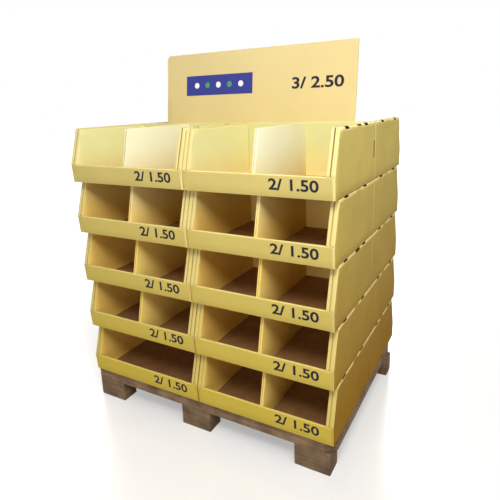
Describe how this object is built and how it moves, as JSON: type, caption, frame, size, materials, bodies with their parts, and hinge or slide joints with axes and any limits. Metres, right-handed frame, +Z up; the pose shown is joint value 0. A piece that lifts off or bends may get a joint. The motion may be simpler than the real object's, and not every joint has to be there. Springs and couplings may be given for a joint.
{
  "type": "cardboard pallet display stand",
  "caption": "Two-sided display stand of stacked open-front cardboard trays with loose dividers, a leaning header board and a wooden pallet with feet.",
  "frame": {"origin": "on the floor, under the middle of the stand", "axes": "+Z up, the front faces -Y, +X to the right of someone facing the front"},
  "size_m": [1.224, 0.918, 1.599],
  "materials": {
    "printed_board": "matte printed corrugated board",
    "divider_board": "matte printed corrugated board",
    "header_board": "matte printed corrugated board",
    "pallet_wood": "rough sawn, weathered"
  },
  "bodies": {
    "root": {"tray_front_left_1": "printed_board", "tray_rear_left_1": "printed_board", "tray_front_right_1": "printed_board", "tray_rear_right_1": "printed_board", "divider_front_right_1": "divider_board", "tray_front_left_2": "printed_board", "tray_rear_left_2": "printed_board", "divider_front_left_2": "divider_board", "tray_front_right_2": "printed_board", "tray_rear_right_2": "printed_board", "divider_front_right_2": "divider_board", "tray_front_left_3": "printed_board", "tray_rear_left_3": "printed_board", "divider_front_left_3": "divider_board", "tray_front_right_3": "printed_board", "tray_rear_right_3": "printed_board", "divider_front_right_3": "divider_board", "tray_front_left_4": "printed_board", "tray_rear_left_4": "printed_board", "divider_front_left_4": "divider_board", "tray_front_right_4": "printed_board", "tray_rear_right_4": "printed_board", "divider_front_right_4": "divider_board", "tray_front_left_5": "printed_board", "tray_rear_left_5": "printed_board", "divider_front_left_5": "divider_board", "tray_front_right_5": "printed_board", "tray_rear_right_5": "printed_board", "divider_front_right_5": "divider_board", "header_board": "header_board", "pallet_rail_front": "pallet_wood", "pallet_foot_front_left": "pallet_wood", "pallet_foot_front_middle": "pallet_wood", "pallet_foot_front_right": "pallet_wood", "pallet_rail_rear": "pallet_wood", "pallet_foot_rear_left": "pallet_wood", "pallet_foot_rear_middle": "pallet_wood", "pallet_foot_rear_right": "pallet_wood", "pallet_cross_rail_left": "pallet_wood", "pallet_cross_rail_middle": "pallet_wood", "pallet_cross_rail_right": "pallet_wood", "pallet_deck_board_1": "pallet_wood", "pallet_deck_board_2": "pallet_wood", "pallet_deck_board_3": "pallet_wood", "pallet_deck_board_4": "pallet_wood", "pallet_deck_board_5": "pallet_wood", "pallet_deck_board_6": "pallet_wood"}
  },
  "joints": []
}
